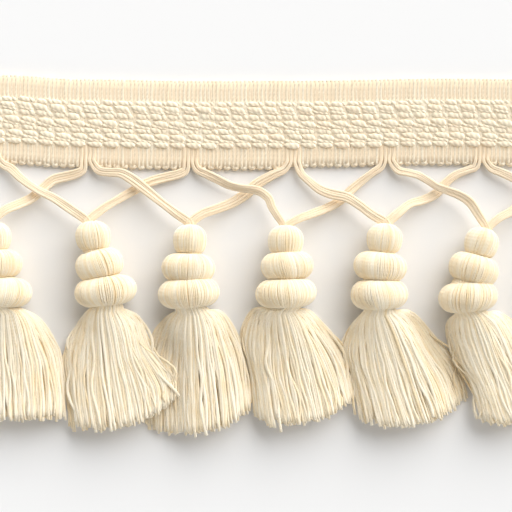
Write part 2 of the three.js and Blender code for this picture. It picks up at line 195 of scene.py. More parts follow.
room = bpy.data.worlds.new("white room")
room.use_nodes = True
around = room.node_tree
toward = add(around, "ShaderNodeTexCoord").outputs["Generated"]
toward = add(around, "ShaderNodeSeparateXYZ", links={"Vector": toward}).outputs
low = add(around, "ShaderNodeMath", {"operation": "SUBTRACT"}, {0: 1.0}, {1: toward["Z"]}).outputs[0]
low = add(around, "ShaderNodeMath", {"operation": "POWER"}, {1: FADE}, {0: low}).outputs[0]
wall = add(around, "ShaderNodeMath", {"operation": "MULTIPLY_ADD"}, {1: WINDOW * WALLS, 2: WALLS},
           {0: toward["Y"]}).outputs[0]
glow = add(around, "ShaderNodeMath", {"operation": "MULTIPLY_ADD"}, {2: CEILING},
           {0: low, 1: wall}).outputs[0]
background = around.nodes["Background"]
background.inputs["Color"].default_value = ROOM_WHITE
around.links.new(glow, background.inputs["Strength"])
bpy.context.scene.world = room
print("walls", WALLS, "ceiling", CEILING)

# %% [markdown]
# Yarn
# Every yarn is a tube swept along its middle line. Blender's curve bevel could do it, but a curve keeps
# no ply of its own, so the rings are laid directly. A ring's side direction is carried from one ring to
# the next, which stops a tube from turning over where its line bends, and the faces between the rings
# all have four corners. Each corner keeps the turn of the ply there, and each yarn its tone, which in
# the tassels is partly painted shade.

# %% Skin a row of rings
PLIES = 2


def skin(points, turns, tone, ridges=PLIES):
    strands, rings, sides = points.shape[:3]
    first = (np.arange(strands)[:, None] * rings + np.arange(rings - 1)) * sides
    k = np.arange(sides)
    near, far = first[..., None] + k, first[..., None] + (k + 1) % sides
    wall = np.stack([near, near + sides, far + sides, far], axis=-1).reshape(-1, 4)
    k = np.arange(0, sides - 2, 2)
    fan = np.stack([0 * k, k + 1, k + 2, (k + 3) % sides], axis=1)
    start = np.arange(strands)[:, None, None] * rings * sides
    caps = np.concatenate([(start + fan), (start + (rings - 1) * sides + fan[:, ::-1])]).reshape(-1, 4)
    round_it = ridges * np.arange(sides + 1) / sides
    here, there = turns[:, :-1, None] + round_it, turns[:, 1:, None] + round_it
    ply = np.stack([here[..., :-1], there[..., :-1], there[..., 1:], here[..., 1:]], axis=-1)
    ply = np.concatenate([ply.reshape(-1, 4), np.zeros(caps.shape)])
    tone = np.broadcast_to(np.asarray(tone, float).reshape(strands, -1, 1), (strands, rings, sides))
    return points.reshape(-1, 3), np.concatenate([wall, caps]), ply, tone.reshape(-1)


# %% Spin yarns from their middle lines
# a line is taken to stand upright where its side direction would be shorter than this
UPRIGHT = 0.05
# the lay of a yarn is the length in which its ply goes round once, in mm as all lengths here


def spin(lines, wide, high, sides, lay, tone, outline=None):
    lines = np.asarray(lines, float)
    strands, rings = lines.shape[:2]
    ahead = np.gradient(lines, axis=1)
    ahead /= np.linalg.norm(ahead, axis=2, keepdims=True)
    side = np.empty_like(lines)
    carried = np.cross(ahead[:, 0], (0.0, 0.0, 1.0))
    carried[np.linalg.norm(carried, axis=1) < UPRIGHT] = (1.0, 0.0, 0.0)
    for ring in range(rings):
        along = ahead[:, ring]
        carried = carried - along * np.sum(carried * along, axis=1, keepdims=True)
        carried /= np.linalg.norm(carried, axis=1, keepdims=True)
        side[:, ring] = carried
    over = np.cross(side, ahead)
    if outline is None:
        angle = np.arange(sides) * 2 * np.pi / sides
        outline = np.stack([np.cos(angle), np.sin(angle)], axis=1)
    wide = np.broadcast_to(wide, (strands, rings))[:, :, None] * outline[:, 0]
    high = np.broadcast_to(high, (strands, rings))[:, :, None] * outline[:, 1]
    points = lines[:, :, None] + side[:, :, None] * wide[..., None] + over[:, :, None] * high[..., None]
    length = np.cumsum(np.linalg.norm(np.diff(lines, axis=1, prepend=lines[:, :1]), axis=2), axis=1)
    return skin(points, length / lay, tone)


# %% Lay a piece in the scene
def lay_piece(name, parts, material):
    starts = np.cumsum([0] + [len(part[0]) for part in parts])
    points = np.concatenate([part[0] for part in parts]) * MM
    faces = np.concatenate([part[1] + start for part, start in zip(parts, starts)])
    mesh = bpy.data.meshes.new(name)
    mesh.vertices.add(len(points))
    mesh.vertices.foreach_set("co", points.ravel())
    mesh.loops.add(faces.size)
    mesh.loops.foreach_set("vertex_index", faces.ravel().astype(np.int32))
    mesh.polygons.add(len(faces))
    mesh.polygons.foreach_set("loop_start", np.arange(0, faces.size, 4, dtype=np.int32))
    mesh.polygons.foreach_set("use_smooth", np.ones(len(faces), dtype=bool))
    mesh.update(calc_edges=True)
    ply = mesh.attributes.new("ply", "FLOAT", "CORNER")
    ply.data.foreach_set("value", np.concatenate([part[2] for part in parts]).ravel().astype(np.float32))
    tone = mesh.attributes.new("tone", "FLOAT", "POINT")
    tone.data.foreach_set("value", np.concatenate([part[3] for part in parts]).astype(np.float32))
    mesh.materials.append(material)
    piece = bpy.data.objects.new(name, mesh)
    bpy.context.scene.collection.objects.link(piece)
    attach(piece, "root")
    print(name, "triangles:", 2 * len(faces))
    return piece


# %% Soft steps and soft curves
# points that a curve gets between two of its places, before they are spread evenly
SPAN_POINTS = 24


def ease(value, low=0.0, high=1.0):
    share = np.clip((value - low) / (high - low), 0.0, 1.0)
    return share * share * (3 - 2 * share)


def with_ends(places):
    return np.concatenate([[2 * places[0] - places[1]], places, [2 * places[-1] - places[-2]]])


def bend_between(a, b, c, d, s):
    return 0.5 * (2 * b + (c - a) * s
                  + (2 * a - 5 * b + 4 * c - d) * s ** 2
                  + (3 * b - a - 3 * c + d) * s ** 3)


def through(places, steps):
    places = np.asarray(places, float)
    ends = with_ends(places)
    s = np.linspace(0, 1, SPAN_POINTS, endpoint=False)[:, None, None]
    a, b, c, d = (ends[i:len(ends) - 3 + i] for i in range(4))
    curve = bend_between(a, b, c, d, s).transpose(1, 0, 2).reshape(-1, places.shape[1])
    curve = np.concatenate([curve, places[-1:]])
    length = np.concatenate([[0], np.cumsum(np.linalg.norm(np.diff(curve, axis=0), axis=1))])
    even = np.linspace(0, length[-1], steps)
    return np.stack([np.interp(even, length, curve[:, i]) for i in range(places.shape[1])], axis=1)


def uneven_tone(middle, spread, count, least=0.1):
    return np.clip(middle + chance.normal(0, spread, count), least, 1.0)


print("a soft step at its quarters:", ease(np.linspace(0, 1, 5)).round(2))

# %% [markdown]
# Heading
# The heading is a narrow woven tape. Its weft runs from edge to edge as upright ribs, turns in a small
# loop at the edge and comes back as the next rib. A flat strip with a bump would look right from above
# but not along its edges, so each rib is a yarn. The tape wanders a little as it lies, so its middle line
# is a short table of places. The ground cloth is one closed, thin sheet between the front and back of
# the ribs.

# %% Ground cloth
LENGTH, WIDTH = 234.0, 24.6
GROUND_HEIGHT, GROUND_THICK = 1.02, 0.7
# the cloth ends just inside the ribs
GROUND_INSET = 0.1
GROUND_RINGS, GROUND_STEPS = 157, 11
GROUND_LAY, GROUND_TONE = 1.0, 0.5
# places along the tape, and how far its middle line strays at each
STRAY_X = np.array([-117.0, -82.0, -60.0, -25.0, 5.0, 45.0, 80.0, 117.0])
STRAY_Y = np.array([2.1, 1.5, 0.3, -0.2, -0.1, 0.5, 0.1, -0.2])
# the lower edge is this much higher on the right half, and changes between these places
SHORT_EDGE = 0.7
SHORT_FROM, SHORT_TO = 0.0, 4.0


def stray(x):
    place = np.clip(np.searchsorted(STRAY_X, x, side="right") - 1, 0, len(STRAY_X) - 2)
    share = ease((x - STRAY_X[place]) / (STRAY_X[place + 1] - STRAY_X[place]))
    return STRAY_Y[place] + (STRAY_Y[place + 1] - STRAY_Y[place]) * share


def shorter(x):
    return SHORT_EDGE * ease(x, SHORT_FROM, SHORT_TO)


x = np.linspace(-LENGTH / 2 + GROUND_INSET, LENGTH / 2 - GROUND_INSET, GROUND_RINGS)
middle = np.stack([x, stray(x) + shorter(x) / 2, np.full(x.shape, GROUND_HEIGHT)], axis=1)
across = np.linspace(-1, 1, GROUND_STEPS)
back, front = np.full(across.shape, -1.0), np.full(across.shape, 1.0)
section = np.concatenate([np.stack([across, back], 1), np.stack([-across, front], 1)])
half_width = WIDTH / 2 - GROUND_INSET - shorter(x) / 2
sheet = spin(middle[None], half_width, GROUND_THICK / 2, len(section), GROUND_LAY, [GROUND_TONE], section)
cloth = lay_piece("heading_cloth", [sheet], GROUND)
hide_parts("heading")

# %% [markdown]
# Where cords leave the heading
# The cords are not sewn on: at each exit the weft itself comes out of the lower edge, two ribs to each
# side, and runs down to a tassel. Cords that only touched the edge would look glued on. So the ribs that
# turn into cord stop under the braid, and every other rib joins its neighbour in a loop along the edge.

# %% Ribs that become cord
TASSELS = 7
RIB_COUNT = 198
RIB_PITCH = LENGTH / RIB_COUNT
# places along the tape where cords come out
EXITS = np.array([-113.5, -85.5, -57.5, -27.9, 1.3, 28.6, 55.8, 83.5, 111.3])

rib_x = -LENGTH / 2 + (np.arange(RIB_COUNT) + 0.5) * RIB_PITCH
exit_rib = np.round((EXITS + LENGTH / 2) / RIB_PITCH).astype(int)
# a hanger takes two ribs right of one exit and comes back to two ribs left of the next exit but one
to_right = exit_rib[:TASSELS]
to_left = exit_rib[2:] - 2
cord_ribs = sorted({rib + n for rib in (*to_right, *to_left) for n in (0, 1)})
print("ribs that become cord:", len(cord_ribs), "of", RIB_COUNT)

# %% Where each rib stops
# the lower end of a rib that has a loop, and of one that stands alone
LOOP_STOP, LONE_STOP = -12.0, -12.6
# where the braid meets the lower ribs, and how far a rib that becomes cord reaches under the braid
BAND_INNER, TUCK = 6.9, 1.2

lower_pairs, rib = [], 0
while rib < RIB_COUNT - 1:
    joined = rib not in cord_ribs and rib + 1 not in cord_ribs
    lower_pairs += [(rib, rib + 1)] if joined else []
    rib += 2 if joined else 1
lower_pairs = np.array(lower_pairs)
stops = np.full(RIB_COUNT, LONE_STOP)
stops[lower_pairs.ravel()] = LOOP_STOP
is_cord = np.isin(np.arange(RIB_COUNT), cord_ribs)
stops = np.where(is_cord, TUCK - BAND_INNER, stops + shorter(rib_x))[:, None]
print("loops along the lower edge:", len(lower_pairs))

# %% Rib yarns
# half width and half height of a rib, the height of its middle, and its rise under the braid
RIB_WIDE, RIB_HIGH = 0.55, 0.61
RIB_HEIGHT, RIB_RISE = 0.88, 0.32
RIB_LAY, RIB_SIDES = 1.35, 8
# between these places a rib comes under the braid, where it spreads and flattens
BRAID_INSIDE, BRAID_OUTSIDE = 6.0, 7.2
SPREAD, FLATTEN = 0.9, 0.25
# how far ribs sway sideways and lie higher or lower
SWAY, UNEVEN = 0.05, 0.03
RIB_TONE, RIB_TONE_SPREAD = 0.62, 0.16
# rings past a rib's stop crowd there, each a hair from the last
CROWDED = 0.02
stations = np.array([
    12.75, 12.6, 11.6, 10.2, 9.0, 7.8, 6.8, 5.6, 3.0, 0.0,
    -3.0, -5.6, -6.8, -7.8, -9.0, -10.2, -11.3, LOOP_STOP, LONE_STOP])
# the first ring is smaller, so that the upper end looks round
rounded = np.array([0.8] + [1.0] * (len(stations) - 1))

in_braid = 1 - ease(np.abs(stations), BRAID_INSIDE, BRAID_OUTSIDE)
sway = chance.normal(0, SWAY, (RIB_COUNT, len(stations)))
sway = (sway + np.roll(sway, 1, axis=1) + np.roll(sway, -1, axis=1)) / 2
crowd = np.linspace(CROWDED, 0, len(stations))
lines = np.zeros((RIB_COUNT, len(stations), 3))
lines[:, :, 0] = rib_x[:, None] + sway
lines[:, :, 1] = np.maximum(stations, stops + crowd) + stray(rib_x)[:, None]
lines[:, :, 2] = RIB_HEIGHT + in_braid * RIB_RISE
lines[:, :, 2] += chance.normal(0, UNEVEN, (RIB_COUNT, 1))
rib_tone = uneven_tone(RIB_TONE, RIB_TONE_SPREAD, RIB_COUNT)
wide = RIB_WIDE * (1 + SPREAD * in_braid) * rounded
high = RIB_HIGH * (1 - FLATTEN * in_braid) * rounded
ribs = spin(lines, wide, high, RIB_SIDES, RIB_LAY, rib_tone)
print("rib yarns:", len(lines), "pitch, mm:", round(RIB_PITCH, 2))

# %% Loops along the lower edge
# where a loop starts, how far it reaches down, and how much wider and flatter than a rib it is
LOOP_EDGE, LOOP_REACH = -11.8, 0.5
LOOP_WIDER, LOOP_FLATTER = 1.35, 0.95
LOOP_UNEVEN = (0.8, 1.25)
LOOP_RINGS = 9

first, second = lower_pairs.T
left, right = rib_x[first][:, None], rib_x[second][:, None]
turn = np.linspace(0, np.pi, LOOP_RINGS)
reach = LOOP_REACH * chance.uniform(*LOOP_UNEVEN, left.shape)
loop = np.zeros((len(lower_pairs), LOOP_RINGS, 3))
loop[:, :, 0] = (left + right) / 2 - (right - left) / 2 * np.cos(turn)
loop[:, :, 1] = LOOP_EDGE - reach * np.sin(turn) + stray(loop[:, :, 0]) + shorter(loop[:, :, 0])
loop[:, :, 2] = RIB_HEIGHT
loops = spin(loop, RIB_WIDE * LOOP_WIDER, RIB_HIGH * LOOP_FLATTER, RIB_SIDES, RIB_LAY, rib_tone[first])
weft = lay_piece("heading_weft", [ribs, loops], WEFT)
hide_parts("heading")

# %% [markdown]
# Braid
# Down the middle of the tape the warp floats over four ribs at a time and then dives between them. A float
# is thin where it comes up and blunt where it goes down, so each one looks like a drop lying on its side,
# and a finer yarn follows just below it. Rows of soft, loosely twisted yarn lie between: there the eye
# sees short strokes that slant with the twist. Copies of one stitch would look printed, so each stitch is
# made on its own, with its own share of chance, because no two stitches of soft yarn lie quite alike.

# %% Rows of the braid
# a column of stitches spans four ribs
COLUMN = 4 * RIB_PITCH
COLUMNS = 49
# height of the warp where it dives and where it floats
DIVE_HEIGHT, FLOAT_HEIGHT = 1.4, 1.74
# kind of stitch, place across the tape, thickness, fall from the left end to the right end
ROWS = [
    ("soft", 5.85, 1.45, 0.8), ("plump", 4.4, 1.65, 1.0), ("fine", 3.4, 0.9, 0.8),
    ("soft", 2.1, 1.85, 0.9), ("plump", 0.15, 1.7, 1.0), ("fine", -0.88, 0.9, 0.8),
    ("soft", -2.05, 1.7, 0.9), ("plump", -3.68, 1.65, 1.0), ("fine", -4.85, 0.95, 0.6),
    ("plump", -5.95, 1.65, 0.4),
]
print("rows:", len(ROWS), "columns:", COLUMNS)

# %% Stitches of one row
STITCH_LAY = 1.6
STITCH_TONE, STITCH_TONE_SPREAD = 0.6, 0.12


def stitch(start, u, y, z, half, flat, sides):
    x = np.broadcast_to(start + u * COLUMN, y.shape)
    lines = np.stack([x, y + stray(x), z], axis=2)
    tone = uneven_tone(STITCH_TONE, STITCH_TONE_SPREAD, len(start))
    return spin(lines, half, half * flat, sides, STITCH_LAY, tone)


# %% Plump and fine floats
# where along a column a float comes up, dives, swells and is blunted
COMES_UP, DIVES = (-0.03, 0.22), (0.84, 1.02)
SWELLS, BLUNTED = (0.0, 0.5), (0.8, 1.0)
# thickness at the thin end of a plump float, what its blunt end loses, and the ends of a fine one
THIN_END, BLUNT_LOSS, FINE_END = 0.3, 0.75, 0.6
FLOAT_RINGS, FLOAT_SIDES, FLOAT_FLAT = 13, 8, 0.5


def floats(start, place, full, kind, thick, fall):
    u = np.linspace(COMES_UP[0], 1.0, FLOAT_RINGS)[None]
    rise = ease(u, *COMES_UP) * (1 - ease(u, *DIVES))
    shape = FINE_END + (1 - FINE_END) * rise
    if kind == "plump":
        shape = (THIN_END + (1 - THIN_END) * ease(u, *SWELLS)) * (1 - BLUNT_LOSS * ease(u, *BLUNTED) ** 2)
    half = thick / 2 * full * shape
    z = DIVE_HEIGHT + (FLOAT_HEIGHT - DIVE_HEIGHT) * rise * full
    return [stitch(start, u, place + fall * (0.5 - u), z, half, FLOAT_FLAT, FLOAT_SIDES)]


# %% Soft strokes
# the strokes of a soft stitch: where along a column, how thick, how long, how steep
STROKES = [(0.37, 1.0, 0.74, 0.6), (0.83, 0.7, 0.42, 1.5)]
STROKE_RINGS, STROKE_SIDES, STROKE_FLAT = 8, 6, 0.48
# how thin the ends of a stroke are, how deep its middle lies below a float, and how far its ends dip
STROKE_TAPER, STROKE_DEEP, STROKE_DIP = 0.5, 0.12, 0.3
# chance in a stroke's place along the column, its height, its lean and its place across the tape
STROKE_SHIFT, STROKE_LIFT, STROKE_LEAN, STROKE_STRAY = 0.03, 0.07, 0.18, 0.08


def strokes(start, place, full, thick, fall):
    parts = []
    v = np.linspace(-0.5, 0.5, STROKE_RINGS)[None]
    for along, size, long, steep in STROKES:
        u = along + chance.normal(0, STROKE_SHIFT, start.shape) + long * v
        half = thick / 2 * full * size * (1 - STROKE_TAPER * (2 * v) ** 2)
        z = FLOAT_HEIGHT - STROKE_DEEP - STROKE_DIP * (2 * v) ** 4
        z = z + chance.normal(0, STROKE_LIFT, start.shape)
        lean = fall * steep * (1 + chance.normal(0, STROKE_LEAN, start.shape))
        y = place - lean * v + chance.normal(0, STROKE_STRAY, start.shape)
        parts.append(stitch(start, u, y, z, half, STROKE_FLAT, STROKE_SIDES))
    return parts


# %% Work the braid row by row
# how far each row lags behind the one above, and chance in the rows, the stitches and their fullness
ROW_LAG = 0.014
ROW_SHIFT, STITCH_SHIFT = 0.07, 0.045
STITCH_STRAY, STITCH_FULL = 0.07, 0.07


def stitch_row(row, kind, place, thick, fall):
    begin = -LENGTH / 2 + (LENGTH - COLUMNS * COLUMN) / 2
    lag = row * ROW_LAG + chance.normal(0, ROW_SHIFT)
    start = begin + (np.arange(COLUMNS) + lag + chance.normal(0, STITCH_SHIFT, COLUMNS))[:, None] * COLUMN
    place = place + chance.normal(0, STITCH_STRAY, start.shape)
    full = 1 + chance.normal(0, STITCH_FULL, start.shape)
    if kind == "soft":
        return strokes(start, place, full, thick, fall)
    return floats(start, place, full, kind, thick, fall)


braid_parts = [part for row, facts in enumerate(ROWS) for part in stitch_row(row, *facts)]
braid = lay_piece("heading_braid", braid_parts, FLOAT)
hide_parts("heading")

# %% [markdown]
# Hangers
# A hanger is four weft yarns that leave the heading as two neighbouring ribs, run side by side as a flat
# cord to a tassel, pass through the top of its ball and go back up to the heading two exits on. The leg
# that runs to the right lies over, the other one under. One thick tube would look like wire, so the four
# yarns are made. They share one middle line and keep their order across it, so the cord can roll and
# narrow without its yarns passing through each other.

# %% Routes of the hangers
# the tassel's knot, then the plan of the leg down to it and of the leg up from it
ROUTES = [
    ((-84.4, -27.3),
     [(-110.9, -13.0), (-106.1, -15.4), (-99.8, -18.9), (-93.5, -22.7), (-88.4, -25.7)],
     [(-80.9, -24.6), (-77.8, -23.2), (-74.1, -21.3), (-70.6, -18.2), (-67.8, -15.9), (-64.1, -14.9),
      (-61.4, -14.2), (-59.4, -13.1)]),
    ((-57.5, -27.9),
     [(-82.2, -11.6), (-79.8, -12.8), (-76.7, -15.7), (-71.9, -19.0), (-67.2, -21.3), (-61.6, -25.0)],
     [(-52.9, -24.2), (-48.3, -21.3), (-43.8, -18.6), (-39.8, -16.5), (-35.4, -15.2), (-31.6, -14.2),
      (-29.8, -13.2)]),
    ((-28.3, -28.5),
     [(-54.8, -13.2), (-51.8, -13.8), (-48.5, -14.0), (-45.8, -15.3), (-42.6, -17.6), (-36.9, -22.2),
      (-32.2, -25.8)],
     [(-24.6, -25.8), (-20.3, -24.2), (-16.3, -22.5), (-12.4, -20.0), (-9.4, -17.2), (-4.6, -14.5),
      (-1.5, -13.1)]),
    ((-1.1, -29.3),
     [(-26.2, -13.1), (-23.9, -14.3), (-20.7, -15.8), (-17.2, -17.5), (-13.6, -18.4), (-8.9, -19.2),
      (-6.0, -21.3), (-4.7, -24.3)],
     [(2.8, -27.2), (6.0, -26.0), (11.2, -24.0), (15.0, -21.8), (17.8, -19.1), (21.0, -16.4),
      (24.3, -13.9), (26.4, -12.4)]),
    ((27.7, -28.5),
     [(3.6, -14.1), (6.2, -16.6), (8.8, -18.7), (12.3, -20.1), (16.2, -21.0), (19.6, -23.0),
      (23.4, -25.9)],
     [(31.2, -25.6), (34.6, -23.0), (38.6, -21.8), (42.2, -20.0), (44.6, -17.4), (47.6, -14.8),
      (51.6, -13.1), (53.6, -12.4)]),
    ((56.6, -29.9),
     [(31.4, -13.1), (34.3, -13.9), (37.0, -14.6), (39.5, -16.0), (42.3, -17.9), (44.9, -19.0),
      (48.6, -20.5), (51.6, -22.6), (54.0, -26.2)],
     [(60.0, -27.0), (63.8, -25.0), (67.2, -21.9), (71.2, -18.4), (75.2, -15.2), (79.9, -13.3)]),
    ((84.1, -28.7),
     [(58.2, -12.6), (60.9, -13.8), (64.3, -15.4), (68.9, -18.0), (74.1, -21.4), (79.4, -25.3)],
     [(88.4, -25.6), (92.9, -22.7), (97.5, -19.2), (102.7, -15.8), (107.6, -13.4)]),
]
print("legs of cord:", 2 * len(ROUTES))

# %% Heights along a hanger
# height of a cord at the heading and at the knot
CORD_EXIT, CORD_KNOT = 1.6, 6.4
# the bend inside the ball, seen from the knot
KNOT_BEND = np.array([[-0.5, 0.3], [0.0, -1.4], [0.5, 0.3]])
# place across the tape and height of the yarns on their way out between the ribs
LEAD = [(-5.9, 1.15), (-7.6, 1.25), (-9.4, 1.3), (-10.9, CORD_EXIT)]
# where along a leg it begins to rise: the upper leg at once, the lower one half-way
UPPER_RISE, LOWER_RISE = -0.25, 0.45


def leg_heights(plan, is_down):
    far = np.concatenate([[0], np.cumsum(np.linalg.norm(np.diff(plan, axis=0), axis=1))])
    share = far / far[-1]
    if is_down:
        lifted = ease(share, UPPER_RISE, 1) - ease(0.0, UPPER_RISE, 1) * (1 - share)
        return CORD_EXIT + (CORD_KNOT - CORD_EXIT) * lifted
    return (CORD_EXIT + (CORD_KNOT - CORD_EXIT) * ease(share, LOWER_RISE, 1))[::-1]


def band_lead(rib):
    x = rib_x[rib] + RIB_PITCH / 2
    return np.array([(x, y + stray(x), z) for y, z in LEAD])


# %% Middle line of a hanger
CORD_RINGS = 180


def hanger_middle(tassel):
    knot, down, up = ROUTES[tassel]
    enter, bottom, leave = np.array(knot) + KNOT_BEND
    lead_in, lead_out = band_lead(to_right[tassel]), band_lead(to_left[tassel])[::-1]
    down = np.array([lead_in[-1, :2], *down, enter])
    up = np.array([leave, *up, lead_out[0, :2]])
    down = np.column_stack([down, leg_heights(down, True)])
    up = np.column_stack([up, leg_heights(up[::-1], False)])
    bend = np.array([[*bottom, CORD_KNOT]])
    return through(np.concatenate([lead_in[:-1], down, bend, up, lead_out[1:]]), CORD_RINGS)


steps = np.diff([hanger_middle(tassel) for tassel in range(TASSELS)], axis=1)
print("cords from braid to braid, mm:", np.linalg.norm(steps, axis=2).sum(axis=1).round(1))

# %% Four yarns to a cord
# half the thickness of a yarn, and the share of it that is left between the ribs
YARN, PRESSED = 0.47, 0.74
YARN_SIDES, YARN_LAY = 6, 1.6
YARN_TONE, YARN_TONE_SPREAD = 0.62, 0.12
# places of the yarns across the cord, between the ribs and where it is free
IN_BAND = (-0.74, -0.48, 0.48, 0.74)
IN_CORD = (-0.87, -0.29, 0.29, 0.87)
# below this place a cord comes free, over this length
FREE_FROM, FREE_OVER = -11.2, 4.0
# how near the knot its pull begins, over which length it grows, and the roll that it gives
KNOT_REACH, KNOT_OVER, KNOT_ROLL = 5.5, 4.5, 0.2
# slow chance along a cord: in its roll, its width, and each yarn's place and height
ROLL, NARROW, WANDER, HEAVE = 0.3, 0.16, 0.07, 0.1
SLOW_KNOTS = 9


def slow_chance(spread):
    values = chance.normal(0, spread, SLOW_KNOTS)
    return np.interp(np.linspace(0, 1, CORD_RINGS), np.linspace(0, 1, SLOW_KNOTS), values)


def hanger_lines(tassel):
    middle = hanger_middle(tassel)
    ahead = np.gradient(middle, axis=0)
    left = np.column_stack([-ahead[:, 1], ahead[:, 0], 0 * ahead[:, 0]])
    left /= np.linalg.norm(left, axis=1, keepdims=True)
    free = ease(FREE_FROM - middle[:, 1] + stray(middle[:, 0]), 0.0, FREE_OVER)
    from_knot = np.linalg.norm(middle[:, :2] - np.array(ROUTES[tassel][0]), axis=1)
    at_knot = ease(KNOT_REACH - from_knot, 0.0, KNOT_OVER)
    roll = slow_chance(ROLL) * free * (1 - at_knot) + KNOT_ROLL * at_knot
    tight = 1 + slow_chance(NARROW) * free
    lines = []
    for in_band, in_cord in zip(IN_BAND, IN_CORD):
        apart = (in_band + (in_cord - in_band) * free) * tight + slow_chance(WANDER) * free
        lift = slow_chance(HEAVE) * free + np.sin(roll) * apart
        lines.append(middle + left * (apart * np.cos(roll))[:, None] + np.array([0, 0, 1.0]) * lift[:, None])
    return np.array(lines), YARN * (PRESSED + (1 - PRESSED) * free)


for tassel in range(TASSELS):
    lines, thick = hanger_lines(tassel)
    tone = uneven_tone(YARN_TONE, YARN_TONE_SPREAD, len(lines))
    yarns = spin(lines, thick, thick, YARN_SIDES, YARN_LAY, tone)
    hanger = lay_piece(f"hanger_{tassel + 1}_yarns", [yarns], CORD)
    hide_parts(f"hanger_{tassel + 1}")

# %% [markdown]
# Tassels
# A tassel is one hank of thread. The threads start at the cord, run over a ball and two wider tiers, are
# drawn in by a sunk tie after each, and fall as a skirt. Blender's hair could make the skirt, but hair has
# no faces that another program could load. So the threads of the outside are tubes too, made whole from
# the knot to the cut end, and the skirt is filled with more threads that start at the last tie. A solid
# core in the same cotton stands for the thread inside, where no single thread shows.
# The core, the threads deep in the skirt and the thread over the heads take darker tones: painted shade.

# %% Heads
# half width, half height, half length along the tassel, height of the middle above the table
TIERS = [(5.2, 5.0, 3.85, 6.3), (7.8, 6.9, 3.7, 6.6), (8.8, 7.6, 3.9, 7.2)]
# half width, half height and middle height of the places between: the top, and the three ties
NECKS = [(0.7, 0.7, 6.4), (3.2, 3.1, 6.4), (4.2, 4.2, 6.8), (3.7, 3.8, 6.4)]
# for each tassel: ball, middle tier, lower tier, last tie, and the tilt of the three
HEADS = [
    ((-84.4, -32.2), (-83.9, -40.2), (-82.1, -48.2), (-80.4, -52.8), (0, 3, -3)),
    ((-55.9, -32.0), (-54.1, -40.2), (-52.2, -47.9), (-52.3, -52.5), (2, 13, 7)),
    ((-28.3, -33.0), (-28.7, -41.2), (-28.6, -48.5), (-27.5, -53.3), (0, -2, 4)),
    ((-1.0, -33.2), (-0.6, -40.6), (-0.9, -48.5), (-2.3, -52.8), (0, 3, 3)),
    ((27.2, -32.7), (26.0, -40.8), (25.7, -48.9), (25.5, -53.5), (-3, -6, 1)),
    ((54.9, -33.9), (52.6, -41.5), (50.9, -49.6), (51.8, -54.2), (-13, -15, 5)),
    ((84.1, -33.3), (84.4, -41.3), (84.4, -48.8), (84.1, -53.3), (3, 5, -4)),
]
LAST_TIE, TILTS = 3, 4
# for each tassel, how wide its ball and its two tiers are against the table of tiers
GIRTH = [
    (1, 1, 1), (0.97, 0.86, 1.0), (0.92, 0.96, 0.98), (0.98, 0.96, 0.98),
    (0.98, 0.97, 0.92), (0.94, 0.9, 0.94), (1, 1, 1),
]
print("heads:", len(HEADS), "tiers in each:", len(TIERS))

# %% Thread over the head
# how fast the thread turns in to a tie, and the rings over one tier, which end just short of its poles
ROUNDNESS = 0.95
TIER_RINGS, POLE = 13, 86
# half the thickness of a thread, drawn coarser than real thread so that single ones show
THREAD_HALF = 0.42


def head_sections(tassel):
    rows = []
    for tier, (wide, high, half, z) in enumerate(TIERS):
        tilt = np.radians(HEADS[tassel][TILTS][tier])
        down = np.array([np.sin(tilt), -np.cos(tilt)])
        fullest = (wide * GIRTH[tassel][tier], high, z)
        for turn in np.radians(np.linspace(-POLE, POLE, TIER_RINGS)):
            full = np.cos(turn) ** ROUNDNESS
            neck = NECKS[tier] if turn < 0 else NECKS[tier + 1]
            place = np.array(HEADS[tassel][tier]) + half * np.sin(turn) * down
            sizes = [neck[i] + (fullest[i] - neck[i]) * full for i in range(3)]
            rows.append((*place, *sizes, tilt))
    return np.array(rows)


def over_head(sections, angle, sink):
    px, py, wide, high, z, tilt = (sections[:, i][None] for i in range(6))
    out = np.cos(angle) * (wide - sink)
    x = px + out * np.cos(tilt)
    y = py + out * np.sin(tilt)
    return np.stack([x, y, np.maximum(z + np.sin(angle) * (high - sink), THREAD_HALF)], axis=2)


print("rings over a head:", len(head_sections(0)))

# %% Skirts
# for each tassel, from the last tie: left side, right side (shoulder, waist, low, end), fall of the middle
SKIRTS = [
    ([(-8, -2.9), (-12, -10.3), (-13.2, -20.6), (-12.6, -30.9)],
     [(8.6, -3.4), (13.4, -11.2), (15, -20), (15.9, -31.5)], -32.3),
    ([(-7.4, -3.7), (-11.2, -11.4), (-10.7, -20.9), (-9.6, -34.1)],
     [(8.9, -3.1), (12.3, -11.2), (18.4, -19.4), (19.4, -27.5)], -34.4),
    ([(-8, -2.9), (-11.5, -8.6), (-12.3, -21.4), (-12.4, -34.6)],
     [(8.3, -1.1), (12.6, -8), (14.7, -17.7), (16.6, -28.6)], -35.4),
    ([(-8, -0.9), (-10.4, -8.3), (-7.9, -19.2), (-6.7, -32)],
     [(8.9, -1.4), (14.7, -8.9), (19, -18.6), (20.3, -26.6)], -33.0),
    ([(-7.6, -5.1), (-9.2, -11.2), (-6.4, -18.9), (-4.4, -31.5)],
     [(10.2, -0.9), (17.2, -9.2), (22.6, -16.3), (25.2, -25.6)], -33.2),
    ([(-6, -3.4), (-3.9, -10.6), (1, -19.2), (3.3, -31)],
     [(9.4, -0.3), (15.7, -8.3), (19.2, -18.6), (20.3, -27.7)], -31.6),
    ([(-7.5, -2.3), (-10.4, -9.2), (-10.4, -20), (-9.4, -32.2)],
     [(8.3, -1.7), (12.3, -9.2), (14, -20), (13.4, -31.6)], -33.8),
]
# tassel, where across and along its skirt a part begins to lie apart and is full, its base and its height
LIES = [
    (1, (0.55, 0.76), (0.2, 0.48), 4.5, 3.4),
    (2, (0.5, 0.2), (0.14, 0.5), 0.0, 3.7),
    (4, (0.74, 0.92), (0.05, 0.25), 0.0, 3.4),
]
